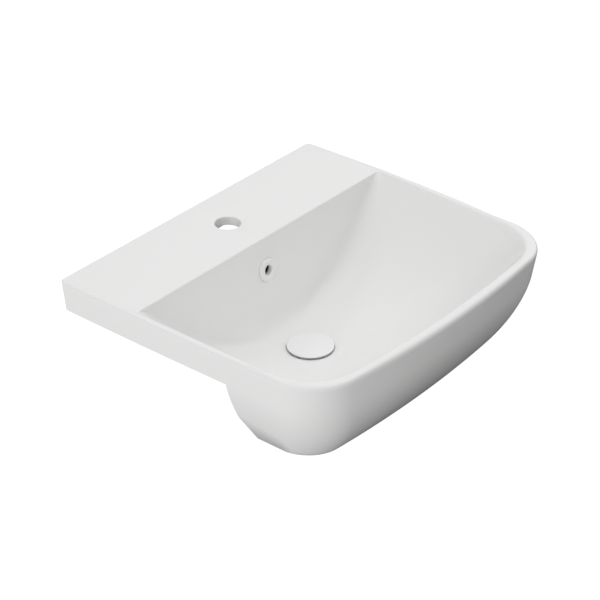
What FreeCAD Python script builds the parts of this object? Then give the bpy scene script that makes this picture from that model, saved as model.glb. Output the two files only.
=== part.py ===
"""Semi recessed wash basin with one tap hole, an overflow and a push-button plug.

The origin is on the centre line, where the wall face meets the plane of the worktop
that carries the apron. X runs along the wall, +Y points into the wall, so the bowl
juts out towards -Y, and Z points up. All sizes are in millimetres, and every depth
is measured down from the ledge.
"""
import FreeCAD, Part
import math
import os

Vec = FreeCAD.Vector
UP = Vec(0, 0, 1)

# ---- Rim, apron and ledge ----
BASIN_WIDTH = 500.0  # across the widest part of the rim
SIDE_BOW = 3.0  # how far each side bows out between the wall and its widest place
BASIN_DEPTH = 435.0  # from the wall to the middle of the front rim
WIDEST_FROM_WALL = 230.0
FRONT_BOW_RADIUS = 1620.0
RIM_CORNER_RADIUS = 71.0
WALL_CORNER_RADIUS = 6.0
APRON_HEIGHT = 45.0  # worktop to ledge
APRON_DRAFT = 5.6  # how far the foot of the apron stands in from the rim
APRON_WALL = 12.0
LEDGE_THICKNESS = 12.6
RIM_DROP = 6.0  # how far the front rim lies under the ledge
WALL_TRIM = 0.2  # ground off the back, which stands flat against the wall

# ---- Skirt in front of the furniture ----
SKIRT_FROM_WALL = 274.0  # where the skirt meets the front of the furniture
SKIRT_DEPTH = 115.0  # worktop to the skirt's underside
SKIRT_SIDE_UNDERCUT = 40.0  # how far the sides curl in below the apron
SKIRT_FRONT_UNDERCUT = 49.0
SKIRT_SIDE_CURVE = 1.45  # 1 is a straight slope, more keeps the curl low
SKIRT_FRONT_CURVE = 1.95
SKIRT_CORNER_RADIUS = 47.0  # plan radius at the underside
SKIRT_EDGE = 18.0  # height of the slope along the skirt's lower edge
SKIRT_EDGE_SIDE = 12.0  # how far that slope runs in at the sides
SKIRT_EDGE_FRONT = 0.5
SKIRT_BAND = 12.0  # width of the ground band that lies on the furniture's front
SKIRT_RELIEF = 2.0  # how far the back is sunk inside that band and above the worktop
FLAT_TOP = (27.6, 56.8)  # start of the flat on each rear corner: in from the widest
FLAT_FOOT = (61.7, 8.6)  # side and up from the skirt's underside, then its foot
FLAT_TURN = 1.2  # degrees by which the flat runs out towards the front
SKIRT_LOFT_CORNER = 20.0  # plan radius behind the furniture's front, where it is cut away
SKIRT_BANDS = 8  # curved bands from the worktop to the underside

# ---- Bowl ----
LEDGE_DEPTH = 128.5  # wall to the top of the bowl's back wall
SIDE_RIM_WIDTH = 7.0
FRONT_RIM_WIDTH = 11.4
BOWL_DEPTH = 136.5  # ledge to the flat floor round the waste
POLE_BELOW_FLOOR = 3.0  # where the bowl's curve would close
BOWL_CURVE = 5.0
SIDE_WALL_LEAN = 0.8  # mm in per mm down
FRONT_WALL_LEAN = 0.6
BACK_WALL_LEAN = 0.12
BACK_HEEL = 40.0  # how far the foot of the back wall sweeps forward
BACK_HEEL_CURVE = 14.0
BOWL_CORNER_RADIUS = 76.0
BOWL_CORNER_FLOOR_RADIUS = 36.0
BACK_CREASE_RADIUS = 3.0
BACK_CREASE_GROWTH = 42.0
BACK_CREASE_TUCK = 0.2
BOWL_BOW_RADIUS = 1900.0
BOWL_WALL = 11.0  # measured level, so the leaning walls are about 8.5 thick
FLOOR_THICKNESS = 12.0
SHELL_CORNER_RADIUS = 38.0  # plan radii of the bowl's outside
SHELL_CREASE_RADIUS = 20.0
SHELL_ROOT = 3.0  # how far the outside reaches up into the ledge
BOWL_BANDS = 14
SHELL_BANDS = 5
ROUNDS_SHARE = 0.99  # the most that plan radii take of the width or length they share

# ---- Tap hole, waste hole and overflow ----
TAP_HOLE_RADIUS = 17.5
TAP_FROM_WALL = 66.0
WASTE_FROM_WALL = 207.0
WASTE_HOLE_RADIUS = 23.0
WASTE_RECESS_RADIUS = 32.0
WASTE_RECESS = 3.0
BOSS_RADIUS = 37.5
BOSS_HEIGHT = 41.0  # bowl floor to the foot of the boss
OVERFLOW_DEPTH = 46.0
OVERFLOW_HOLE_RADIUS = 13.0
OVERFLOW_HOLE_LENGTH = 12.0
OVERFLOW_SEAT = 0.5  # how far the ring is let into the wall
DUCT_WIDTH = 62.0
DUCT_BACK = 101.0  # wall to the rear of the duct
DUCT_ROUND = 8.0
DUCT_REACH = 30.0  # how far it runs in under the bowl's back
DUCT_ROOT = 2.6  # how far it reaches into the ledge
CHANNEL_WIDTH = 40.0
CHANNEL = (113.0, 126.0)  # rear and front of the channel, from the wall
CHANNEL_TOP = 30.0
CHANNEL_OUTLET = (15.5, 31.5)  # where it opens into the waste hole, below the floor

# ---- Overflow ring ----
RING_RADIUS = 16.0
RING_BORE_RADIUS = 7.0
RING_PROUD = 3.0
RING_ROUND = 1.2
RING_BARREL = 9.0
RING_CLEARANCE = 0.3  # round the flange in its seat and the barrel in its hole

# ---- Waste, with its seals and backnut, measured from the bowl's floor ----
FLANGE_RADIUS = 30.0
FLANGE_THICKNESS = 2.5
FLANGE_PROUD = 0.5  # how far the flange stands above the floor
FLANGE_ROUND = 0.8
FLANGE_SEAL_INSET = 0.5
TAIL_RADIUS = 20.95  # over a thread of an inch and a quarter
TAIL_GROOVE = 0.6  # depth of the groove that parts the nut's thread from the trap's
TAIL_GROOVE_HEIGHT = 3.0
TAIL_BORE_RADIUS = 17.5
TAIL_LENGTH = 87.5  # bowl floor to the open end
DISH_RADIUS = 19.4  # the wider mouth that takes the plug's seal
SEAT_BELOW_FLOOR = 2.9
SLOT_WIDTH = 10.0
SLOTS_BELOW_FLOOR = (13.5, 33.5)
SLOT_ROUND = 4.5
BRIDGE_BELOW_FLOOR = 53.5  # the bar across the bore that carries the latch
BRIDGE_THICKNESS = 4.0
BRIDGE_WIDTH = 8.0
BRIDGE_ROOT = 1.0  # how far its ends reach into the tail's wall
HUB_RADIUS = 10.0
STUD_RADIUS = 4.0
CONE_SEAL_RADIUS = 29.0
CONE_SEAL_HEIGHT = 8.0
CONE_SEAL_NOSE_RADIUS = 25.0
THREAD_CLEARANCE = 0.05
SEAL_CLEARANCE = 0.3
WASHER_RADIUS = 30.0
WASHER_THICKNESS = 1.5
NUT_FLATS = 52.0
NUT_HEIGHT = 9.0
NUT_TO_GROOVE = 1.0

# ---- Push latch in the bore ----
HOUSING_RADIUS = 9.0
HOUSING_BORE_RADIUS = 7.0
HOUSING_BELOW_FLOOR = 11.5
HOUSING_FLOOR = 3.0
COLLAR_HEIGHT = 4.0
COLLAR_SPIGOT = 4.0  # how far it reaches into the housing
RUNNING_CLEARANCE = 0.1
ROTOR_HEIGHT = 6.0
ROTOR_RADIUS = 6.4
ROTOR_TEETH = 8
ROTOR_BELOW_FLOOR = 27.5
PLUNGER_RADIUS = 4.0
PLUNGER_FOOT_RADIUS = 6.2
PLUNGER_FOOT = 1.2
SPRING_RADIUS = 5.2  # to the middle of the wire
SPRING_WIRE_RADIUS = 0.5
SPRING_TURNS = 4
SPRING_STEPS_A_TURN = 12

# ---- Plug ----
CAP_RADIUS = 31.5
CAP_ABOVE_FLOOR = 3.7  # edge of the pushed-down cap over the floor
CAP_EDGE_THICKNESS = 1.6
CAP_CROWN = 1.8  # rise of the dome
CAP_STEPS = (0.0, 0.45, 0.8)  # shares of the radius at which the dome changes slope
CAP_ROUND = 0.5
CARRIER_RADIUS = 19.0
CARRIER_THICKNESS = 2.4
CARRIER_HUB_RADIUS = 7.0
CARRIER_HUB_LENGTH = 6.2
SEAL_RADIUS = 19.1
SEAL_THICKNESS = 2.2
SEAL_BORE_RADIUS = 14.0

CUT_MARGIN = 5.0  # how far a cut runs on past the face that it opens

# ---- Depths from the ledge, which follow the bowl's floor ----
BOWL_POLE = BOWL_DEPTH + POLE_BELOW_FLOOR
BOSS_DEPTH = BOWL_DEPTH + BOSS_HEIGHT
OUTLET_TOP = BOWL_DEPTH + CHANNEL_OUTLET[0]
OUTLET_FOOT = BOWL_DEPTH + CHANNEL_OUTLET[1]
TAIL_END = BOWL_DEPTH + TAIL_LENGTH
SEAT_DEPTH = BOWL_DEPTH + SEAT_BELOW_FLOOR
BRIDGE_TOP = BOWL_DEPTH + BRIDGE_BELOW_FLOOR
NUT_TOP = BOSS_DEPTH + CONE_SEAL_HEIGHT + WASHER_THICKNESS
HOUSING_TOP = BOWL_DEPTH + HOUSING_BELOW_FLOOR
ROTOR_TOP = BOWL_DEPTH + ROTOR_BELOW_FLOOR
CAP_EDGE_DEPTH = BOWL_DEPTH - CAP_ABOVE_FLOOR
CARRIER_TOP = CAP_EDGE_DEPTH + CAP_EDGE_THICKNESS

side_radius = (WIDEST_FROM_WALL**2 + SIDE_BOW**2) / (2 * SIDE_BOW)
side_centre = Vec(BASIN_WIDTH / 2 - side_radius, -WIDEST_FROM_WALL, 0)


def level(depth):
    """The z of a depth that is measured down from the ledge."""
    return APRON_HEIGHT - depth


def on_circle(centre, radius, towards):
    """The point of a circle that faces another point."""
    return centre + (towards - centre).normalize() * radius


def arc_edge(centre, radius, start, end):
    """The short arc of a circle from start to end."""
    middle = on_circle(centre, radius, (start + end) * 0.5)
    return Part.Arc(start, middle, end).toShape()


def mirrored(point):
    return Vec(-point.x, point.y, point.z)


def plan_wire(z, inset, front, back, corner, back_corner, bow):
    """A bowed rectangle seen from above: sides, rounded front corners and a bowed front.

    inset is measured from the widest rim, front and back are y values, corner and
    back_corner are the plan radii and bow is the radius of the front.
    """
    side = side_radius - inset
    bow_centre = Vec(0, front + bow, 0)
    reach = bow_centre - side_centre
    to_corner, from_bow = side - corner, bow - corner
    along = (to_corner**2 - from_bow**2 + reach.Length**2) / (2 * reach.Length)
    across = math.sqrt(to_corner**2 - along**2)
    unit = Vec(reach).normalize()
    corner_centre = side_centre + unit * along - Vec(-unit.y, unit.x, 0) * across
    heel_y = back - back_corner
    heel_x = side_centre.x + math.sqrt(
        (side - back_corner) ** 2 - (heel_y - side_centre.y) ** 2
    )
    heel_centre = Vec(heel_x, heel_y, 0)

    heel_start = Vec(heel_x, back, 0)
    side_start = on_circle(side_centre, side, heel_centre)
    side_end = on_circle(side_centre, side, corner_centre)
    bow_start = on_circle(bow_centre, bow, corner_centre)
    right = [
        arc_edge(heel_centre, back_corner, heel_start, side_start),
        arc_edge(side_centre, side, side_start, side_end),
        arc_edge(corner_centre, corner, side_end, bow_start),
    ]
    left = [edge.mirror(Vec(0, 0, 0), Vec(1, 0, 0)) for edge in right]
    front_edge = arc_edge(bow_centre, bow, bow_start, mirrored(bow_start))
    back_edge = Part.LineSegment(heel_start, mirrored(heel_start)).toShape()
    wire = Part.Wire(Part.__sortEdges__(right + [front_edge] + left + [back_edge]))
    wire.translate(Vec(0, 0, z))
    return wire


def box(x, y, z):
    """A box between pairs of x, y and z values."""
    return Part.makeBox(
        x[1] - x[0], y[1] - y[0], z[1] - z[0], Vec(x[0], y[0], z[0])
    )


def bowl_section(depth, wall=0.0, floor=0.0):
    """A level curve of the bowl, or of its outside when it is given a wall and a floor."""
    ratio = depth / (BOWL_POLE + floor)
    narrowing = math.sqrt(1 - ratio**BOWL_CURVE)
    rim_half = BASIN_WIDTH / 2 - SIDE_RIM_WIDTH + wall
    half_width = (rim_half - SIDE_WALL_LEAN * depth) * narrowing
    rim_front = BASIN_DEPTH - FRONT_RIM_WIDTH + wall - WASTE_FROM_WALL
    front = (rim_front - FRONT_WALL_LEAN * depth) * narrowing
    heel = BACK_HEEL * ratio**BACK_HEEL_CURVE
    back = -(LEDGE_DEPTH + BACK_WALL_LEAN * depth + heel) + wall
    corner, crease = SHELL_CORNER_RADIUS, SHELL_CREASE_RADIUS
    if wall == 0.0:
        corner = BOWL_CORNER_RADIUS
        corner -= (BOWL_CORNER_RADIUS - BOWL_CORNER_FLOOR_RADIUS) * ratio**2
        growth = math.sqrt(ratio) * (1 - BACK_CREASE_TUCK * ratio**6)
        crease = BACK_CREASE_RADIUS + BACK_CREASE_GROWTH * growth
    corner = min(corner, ROUNDS_SHARE * half_width)
    crease = min(crease, ROUNDS_SHARE * half_width)
    length = front + WASTE_FROM_WALL + back
    squeeze = min(ROUNDS_SHARE * length / (corner + crease), 1.0)
    return plan_wire(
        level(depth),
        BASIN_WIDTH / 2 - half_width,
        -WASTE_FROM_WALL - front,
        back,
        corner * squeeze,
        crease * squeeze,
        BOWL_BOW_RADIUS,
    )


def bowl_loft(wall, floor, top, spans):
    """The bowl from one depth down to its floor, in bands that narrow at the floor."""
    bottom = BOWL_DEPTH + floor
    first = math.asin(top / bottom)
    turn = math.pi / 2 - first
    depths = [bottom * math.sin(first + turn * i / spans) for i in range(spans + 1)]
    sections = [bowl_section(depth, wall, floor) for depth in depths]
    return Part.makeLoft(sections, True, True)


def outer_section(depth, wall, back, back_corner, edge=(0.0, 0.0)):
    """A level curve of the apron and skirt, or of their inside when given a wall.

    edge is how far the sides and the front stand in besides.
    """
    drop = max(depth - APRON_HEIGHT, 0.0) / SKIRT_DEPTH
    draft = APRON_DRAFT * depth / APRON_HEIGHT + wall
    side = draft + SKIRT_SIDE_UNDERCUT * drop**SKIRT_SIDE_CURVE + edge[0]
    front = draft + SKIRT_FRONT_UNDERCUT * drop**SKIRT_FRONT_CURVE + edge[1]
    shrink = (RIM_CORNER_RADIUS - SKIRT_CORNER_RADIUS) * drop**3
    return plan_wire(
        level(depth),
        side,
        front - BASIN_DEPTH,
        back,
        RIM_CORNER_RADIUS - shrink - wall,
        back_corner,
        FRONT_BOW_RADIUS - front,
    )


def apron_loft(wall, top, bottom):
    back = WALL_TRIM - wall
    sections = [
        outer_section(depth, wall, back, WALL_CORNER_RADIUS) for depth in (top, bottom)
    ]
    return Part.makeLoft(sections, True, True)


def skirt_loft(wall, edge=0.0):
    """The skirt below the worktop, or its inside, with a slope along its lower edge."""
    height = SKIRT_DEPTH - wall - edge
    depths = [APRON_HEIGHT + height * i / SKIRT_BANDS for i in range(SKIRT_BANDS + 1)]
    back, corner = -SKIRT_FROM_WALL / 2, SKIRT_LOFT_CORNER
    sections = [outer_section(depth, wall, back, corner) for depth in depths]
    if edge:
        slope = (SKIRT_EDGE_SIDE, SKIRT_EDGE_FRONT)
        sections.append(outer_section(depths[-1] + edge, wall, back, corner, slope))
    return Part.makeLoft(sections, True, True)


def in_front_of(from_wall):
    """Everything in front of a plane parallel to the wall."""
    return box(
        (-BASIN_WIDTH, BASIN_WIDTH),
        (-2 * BASIN_DEPTH, -from_wall),
        (-2 * SKIRT_DEPTH, 2 * APRON_HEIGHT),
    )


def rim_wedge():
    """What the rim loses where it falls away towards the front."""
    slope = RIM_DROP / (BASIN_DEPTH - LEDGE_DEPTH)
    beyond = BASIN_DEPTH + 20.0
    low = APRON_HEIGHT - slope * (beyond - LEDGE_DEPTH)
    corners = [
        Vec(-BASIN_WIDTH, -LEDGE_DEPTH, APRON_HEIGHT),
        Vec(-BASIN_WIDTH, -beyond, low),
        Vec(-BASIN_WIDTH, -beyond, 2 * APRON_HEIGHT),
        Vec(-BASIN_WIDTH, -LEDGE_DEPTH, 2 * APRON_HEIGHT),
    ]
    face = Part.Face(Part.makePolygon(corners + corners[:1]))
    return face.extrude(Vec(2 * BASIN_WIDTH, 0, 0))


def corner_flat(side):
    """What the flat takes off the skirt's lower rear corner on one side."""
    run = Vec(FLAT_FOOT[0] - FLAT_TOP[0], 0, FLAT_TOP[1] - FLAT_FOOT[1])
    length = 3 * run.Length
    block = Part.makeBox(length, 2 * length, length, Vec(-length / 2, -2 * length, -length))
    block.rotate(Vec(0, 0, 0), Vec(1, 0, 0), FLAT_TURN)
    block.rotate(
        Vec(0, 0, 0), Vec(0, 1, 0), -math.degrees(math.atan2(run.z, run.x))
    )
    middle_x = (BASIN_WIDTH - FLAT_TOP[0] - FLAT_FOOT[0]) / 2
    middle_z = (FLAT_TOP[1] + FLAT_FOOT[1]) / 2 - SKIRT_DEPTH
    block.translate(Vec(middle_x, -SKIRT_FROM_WALL, middle_z))
    if side < 0:
        block = block.mirror(Vec(0, 0, 0), Vec(1, 0, 0))
    return block


def disc(radius, top, bottom, y=-WASTE_FROM_WALL):
    """An upright cylinder on the centre line between two depths."""
    return Part.makeCylinder(radius, bottom - top, Vec(0, y, level(bottom)), UP)


def tube(outer, inner, top, bottom):
    return disc(outer, top, bottom).cut(disc(inner, top - 1, bottom + 1))


def wall_frame(shape):
    """Turns a shape built along +Z at the origin so that it stands on the bowl's back
    wall at the overflow, with its +Z pointing into the bowl."""
    lean = math.degrees(math.atan(BACK_WALL_LEAN))
    shape.rotate(Vec(0, 0, 0), Vec(1, 0, 0), 90 - lean)
    from_wall = LEDGE_DEPTH + BACK_WALL_LEAN * OVERFLOW_DEPTH
    shape.translate(Vec(0, -from_wall, level(OVERFLOW_DEPTH)))
    return shape


def build_duct():
    """The overflow duct behind the bowl and the boss round the waste hole."""
    half = DUCT_WIDTH / 2
    riser = box(
        (-half, half),
        (-LEDGE_DEPTH - DUCT_REACH, -DUCT_BACK),
        (level(BOSS_DEPTH), level(LEDGE_THICKNESS - DUCT_ROOT)),
    )
    riser_edges = [
        edge
        for edge in riser.Edges
        if edge.BoundBox.YMin > -DUCT_BACK - 1 and edge.BoundBox.ZLength > DUCT_WIDTH
    ]
    riser = riser.makeFillet(DUCT_ROUND, riser_edges)
    foot = box(
        (-half, half),
        (-WASTE_FROM_WALL, -DUCT_BACK - DUCT_ROUND),
        (level(BOSS_DEPTH), level(BOWL_DEPTH)),
    )
    boss = disc(BOSS_RADIUS, BOWL_DEPTH, BOSS_DEPTH)
    return riser.fuse(foot).fuse(boss)


def build_channel():
    """The hollow of the duct, from behind the overflow hole to the waste hole."""
    half = CHANNEL_WIDTH / 2
    riser = box(
        (-half, half),
        (-CHANNEL[1], -CHANNEL[0]),
        (level(OUTLET_FOOT), level(CHANNEL_TOP)),
    )
    outlet = box(
        (-half, half),
        (-WASTE_FROM_WALL, -CHANNEL[0]),
        (level(OUTLET_FOOT), level(OUTLET_TOP)),
    )
    return riser.fuse(outlet)


def build_rim():
    """The apron with its ledge and dropped rim, hollow behind the skirt."""
    apron = apron_loft(0.0, 0.0, APRON_HEIGHT).cut(rim_wedge()).common(in_front_of(0.0))
    hollow = apron_loft(APRON_WALL, LEDGE_THICKNESS, APRON_HEIGHT)
    hollow = hollow.cut(in_front_of(SKIRT_FROM_WALL - APRON_WALL))
    return apron.cut(hollow)


def build_relief():
    """What is sunk in the skirt's back inside the band that lies on the furniture, and
    in the corner above it, so that the worktop's edge meets no rough inner corner."""
    sunk = skirt_loft(SKIRT_BAND)
    corner = apron_loft(SKIRT_BAND, APRON_HEIGHT - SKIRT_RELIEF, APRON_HEIGHT)
    slab = in_front_of(SKIRT_FROM_WALL).cut(in_front_of(SKIRT_FROM_WALL + SKIRT_RELIEF))
    return sunk.common(slab).fuse(corner.common(slab))


def build_basin_body():
    shell = bowl_loft(BOWL_WALL, FLOOR_THICKNESS, LEDGE_THICKNESS - SHELL_ROOT, SHELL_BANDS)
    shell = shell.cut(in_front_of(SKIRT_FROM_WALL + SKIRT_RELIEF))
    skirt = skirt_loft(0.0, SKIRT_EDGE).common(in_front_of(SKIRT_FROM_WALL))
    body = build_rim().fuse(skirt).cut(build_relief()).fuse(shell).fuse(build_duct())
    body = body.cut(bowl_loft(0.0, 0.0, 0.0, BOWL_BANDS))
    body = body.cut(corner_flat(1)).cut(corner_flat(-1))
    recess_floor = BOWL_DEPTH + WASTE_RECESS
    body = body.cut(disc(WASTE_RECESS_RADIUS, BOWL_DEPTH - CUT_MARGIN, recess_floor))
    body = body.cut(disc(WASTE_HOLE_RADIUS, BOWL_DEPTH, BOSS_DEPTH + CUT_MARGIN))
    body = body.cut(disc(TAP_HOLE_RADIUS, -CUT_MARGIN, APRON_HEIGHT, -TAP_FROM_WALL))
    body = body.cut(build_channel())
    hole = Part.makeCylinder(
        OVERFLOW_HOLE_RADIUS, OVERFLOW_HOLE_LENGTH, Vec(0, 0, -OVERFLOW_HOLE_LENGTH), UP
    )
    seat = Part.makeCylinder(
        RING_RADIUS + RING_CLEARANCE, CUT_MARGIN, Vec(0, 0, -OVERFLOW_SEAT), UP
    )
    return body.cut(wall_frame(hole.fuse(seat)))


def turned(points):
    """A solid turned about Z from a closed outline of radius and height pairs."""
    outline = Part.makePolygon([Vec(r, 0, z) for r, z in points + points[:1]])
    return Part.Face(outline).revolve(Vec(0, 0, 0), UP, 360)


def in_waste(points):
    """A piece turned about the waste's axis from radius and depth pairs."""
    piece = turned([(radius, level(depth)) for radius, depth in points])
    piece.translate(Vec(0, -WASTE_FROM_WALL, 0))
    return piece


def circle_edges(shape, radius, z):
    """The edges of a turned piece with one radius at one height."""
    return [
        edge
        for edge in shape.Edges
        if type(edge.Curve).__name__ == "Circle"
        and abs(edge.Curve.Radius - radius) < 0.01
        and abs(edge.Curve.Center.z - z) < 0.01
    ]


def build_overflow_ring():
    bottom = -OVERFLOW_SEAT
    barrel = OVERFLOW_HOLE_RADIUS - RING_CLEARANCE
    ring = turned(
        [
            (RING_BORE_RADIUS, -RING_BARREL),
            (barrel, -RING_BARREL),
            (barrel, bottom),
            (RING_RADIUS, bottom),
            (RING_RADIUS, RING_PROUD),
            (RING_BORE_RADIUS, RING_PROUD),
        ]
    )
    rim = circle_edges(ring, RING_RADIUS, RING_PROUD)
    return wall_frame(ring.makeChamfer(RING_ROUND, rim))


def build_waste_body():
    flange_top = BOWL_DEPTH - FLANGE_PROUD
    flange_foot = flange_top + FLANGE_THICKNESS
    groove = TAIL_RADIUS - TAIL_GROOVE
    groove_top = NUT_TOP + NUT_HEIGHT + NUT_TO_GROOVE
    groove_foot = groove_top + TAIL_GROOVE_HEIGHT
    waste = in_waste(
        [
            (DISH_RADIUS, flange_top),
            (FLANGE_RADIUS, flange_top),
            (FLANGE_RADIUS, flange_foot),
            (TAIL_RADIUS, flange_foot),
            (TAIL_RADIUS, groove_top),
            (groove, groove_top),
            (groove, groove_foot),
            (TAIL_RADIUS, groove_foot),
            (TAIL_RADIUS, TAIL_END),
            (TAIL_BORE_RADIUS, TAIL_END),
            (TAIL_BORE_RADIUS, SEAT_DEPTH),
            (DISH_RADIUS, SEAT_DEPTH),
        ]
    )
    waste = waste.makeChamfer(
        FLANGE_ROUND, circle_edges(waste, FLANGE_RADIUS, level(flange_top))
    )
    slot = box(
        (-SLOT_WIDTH / 2, SLOT_WIDTH / 2),
        (-WASTE_FROM_WALL - 2 * TAIL_RADIUS, -WASTE_FROM_WALL + 2 * TAIL_RADIUS),
        (level(BOWL_DEPTH + SLOTS_BELOW_FLOOR[1]), level(BOWL_DEPTH + SLOTS_BELOW_FLOOR[0])),
    )
    slot = slot.makeFillet(
        SLOT_ROUND, [edge for edge in slot.Edges if edge.BoundBox.YLength > TAIL_RADIUS]
    )
    bridge_end = BRIDGE_TOP + BRIDGE_THICKNESS
    reach = TAIL_BORE_RADIUS + BRIDGE_ROOT
    bridge = box(
        (-reach, reach),
        (-WASTE_FROM_WALL - BRIDGE_WIDTH / 2, -WASTE_FROM_WALL + BRIDGE_WIDTH / 2),
        (level(bridge_end), level(BRIDGE_TOP)),
    )
    bridge = bridge.fuse(disc(HUB_RADIUS, BRIDGE_TOP, bridge_end))
    bridge = bridge.cut(disc(STUD_RADIUS + THREAD_CLEARANCE, BRIDGE_TOP - 1, bridge_end + 1))
    return waste.cut(slot).fuse(bridge)


def build_flange_seal():
    top = BOWL_DEPTH - FLANGE_PROUD + FLANGE_THICKNESS
    inner = TAIL_RADIUS + SEAL_CLEARANCE
    return tube(FLANGE_RADIUS - FLANGE_SEAL_INSET, inner, top, BOWL_DEPTH + WASTE_RECESS)


def build_cone_seal():
    """The rubber seal whose nose is drawn up into the waste hole's foot."""
    inner = TAIL_RADIUS + SEAL_CLEARANCE
    end = BOSS_DEPTH + CONE_SEAL_HEIGHT
    return in_waste(
        [
            (inner, BOSS_DEPTH),
            (CONE_SEAL_NOSE_RADIUS, BOSS_DEPTH),
            (CONE_SEAL_RADIUS, end),
            (inner, end),
        ]
    )


def build_slip_washer():
    top = BOSS_DEPTH + CONE_SEAL_HEIGHT
    inner = TAIL_RADIUS + SEAL_CLEARANCE
    return tube(WASHER_RADIUS, inner, top, top + WASHER_THICKNESS)


def build_backnut():
    across = NUT_FLATS / math.sqrt(3)
    corners = [
        Vec(
            across * math.cos(math.radians(60 * i)),
            across * math.sin(math.radians(60 * i)) - WASTE_FROM_WALL,
            level(NUT_TOP + NUT_HEIGHT),
        )
        for i in range(6)
    ]
    nut = Part.Face(Part.makePolygon(corners + corners[:1])).extrude(UP * NUT_HEIGHT)
    bore = disc(TAIL_RADIUS + THREAD_CLEARANCE, NUT_TOP - 1, NUT_TOP + NUT_HEIGHT + 1)
    return nut.cut(bore)


def build_latch_housing():
    """The cup that screws into the bridge and guides the plunger and its spring."""
    return in_waste(
        [
            (0, BRIDGE_TOP - HOUSING_FLOOR),
            (HOUSING_BORE_RADIUS, BRIDGE_TOP - HOUSING_FLOOR),
            (HOUSING_BORE_RADIUS, HOUSING_TOP),
            (HOUSING_RADIUS, HOUSING_TOP),
            (HOUSING_RADIUS, BRIDGE_TOP),
            (STUD_RADIUS, BRIDGE_TOP),
            (STUD_RADIUS, BRIDGE_TOP + BRIDGE_THICKNESS),
            (0, BRIDGE_TOP + BRIDGE_THICKNESS),
        ]
    )


def build_latch_collar():
    """The screwed-on top of the housing, whose spigot carries the fixed cams."""
    bore = PLUNGER_RADIUS + RUNNING_CLEARANCE
    spigot = HOUSING_BORE_RADIUS - RUNNING_CLEARANCE
    collar = in_waste(
        [
            (bore, HOUSING_TOP - COLLAR_HEIGHT),
            (HOUSING_RADIUS, HOUSING_TOP - COLLAR_HEIGHT),
            (HOUSING_RADIUS, HOUSING_TOP),
            (spigot, HOUSING_TOP),
            (spigot, HOUSING_TOP + COLLAR_SPIGOT),
            (bore, HOUSING_TOP + COLLAR_SPIGOT),
        ]
    )
    return collar


def build_latch_rotor():
    """The cam ring that turns a step at each push and rides on the plunger's foot."""
    bore = PLUNGER_RADIUS + RUNNING_CLEARANCE
    rotor = tube(ROTOR_RADIUS, bore, ROTOR_TOP, ROTOR_TOP + ROTOR_HEIGHT)
    width = 2 * math.pi * ROTOR_RADIUS / ROTOR_TEETH
    notch_depth = ROTOR_HEIGHT / 3
    profile = [
        Vec(0, -width / 4, level(ROTOR_TOP) + 0.5),
        Vec(0, width / 4, level(ROTOR_TOP) + 0.5),
        Vec(0, -width / 4, level(ROTOR_TOP) - notch_depth),
    ]
    notch = Part.Face(Part.makePolygon(profile + profile[:1]))
    notch = notch.extrude(Vec(ROTOR_RADIUS + 1, 0, 0))
    for i in range(ROTOR_TEETH):
        cutter = notch.copy()
        cutter.rotate(Vec(0, 0, 0), UP, i * 360.0 / ROTOR_TEETH)
        cutter.translate(Vec(0, -WASTE_FROM_WALL, 0))
        rotor = rotor.cut(cutter)
    return rotor


def build_plunger():
    foot = ROTOR_TOP + ROTOR_HEIGHT
    return in_waste(
        [
            (0, CARRIER_TOP + CARRIER_THICKNESS),
            (PLUNGER_RADIUS, CARRIER_TOP + CARRIER_THICKNESS),
            (PLUNGER_RADIUS, foot),
            (PLUNGER_FOOT_RADIUS, foot),
            (PLUNGER_FOOT_RADIUS, foot + PLUNGER_FOOT),
            (0, foot + PLUNGER_FOOT),
        ]
    )


def build_return_spring():
    """A coil of ruled bands that stands on the housing's floor and lifts the plunger."""
    low = level(BRIDGE_TOP - HOUSING_FLOOR) + SPRING_WIRE_RADIUS
    high = level(ROTOR_TOP + ROTOR_HEIGHT + PLUNGER_FOOT) - SPRING_WIRE_RADIUS
    section = [(-1, 0), (0, -1), (1, 0), (0, 1)]
    steps = SPRING_TURNS * SPRING_STEPS_A_TURN
    wires = []
    for i in range(steps + 1):
        turn = 2 * math.pi * i / SPRING_STEPS_A_TURN
        height = low + (high - low) * i / steps
        corners = []
        for out, lift in section:
            radius = SPRING_RADIUS + out * SPRING_WIRE_RADIUS
            corners.append(
                Vec(
                    radius * math.cos(turn),
                    radius * math.sin(turn) - WASTE_FROM_WALL,
                    height + lift * SPRING_WIRE_RADIUS,
                )
            )
        wires.append(Part.makePolygon(corners + corners[:1]))
    return Part.makeLoft(wires, True, True)


def build_plug_cap():
    """The disc that is pressed to shut or open the waste, crowned in flat steps."""
    crown = [
        (CAP_RADIUS * share, CAP_EDGE_DEPTH - CAP_CROWN * (1 - share**2))
        for share in CAP_STEPS
    ]
    foot = CAP_EDGE_DEPTH + CAP_EDGE_THICKNESS
    return in_waste(
        crown
        + [
            (CAP_RADIUS - CAP_ROUND, CAP_EDGE_DEPTH),
            (CAP_RADIUS, CAP_EDGE_DEPTH + CAP_ROUND),
            (CAP_RADIUS, foot),
            (0, foot),
        ]
    )


def build_plug_carrier():
    """The disc under the cap, with the hub that is screwed onto the plunger."""
    foot = CARRIER_TOP + CARRIER_THICKNESS
    return in_waste(
        [
            (0, CARRIER_TOP),
            (CARRIER_RADIUS, CARRIER_TOP),
            (CARRIER_RADIUS, foot),
            (CARRIER_HUB_RADIUS, foot),
            (CARRIER_HUB_RADIUS, foot + CARRIER_HUB_LENGTH),
            (PLUNGER_RADIUS, foot + CARRIER_HUB_LENGTH),
            (PLUNGER_RADIUS, foot),
            (0, foot),
        ]
    )


def build_plug_seal():
    """The ring under the carrier that meets the waste's seat when the plug is down."""
    top = CARRIER_TOP + CARRIER_THICKNESS
    return tube(SEAL_RADIUS, SEAL_BORE_RADIUS, top, top + SEAL_THICKNESS)


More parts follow.
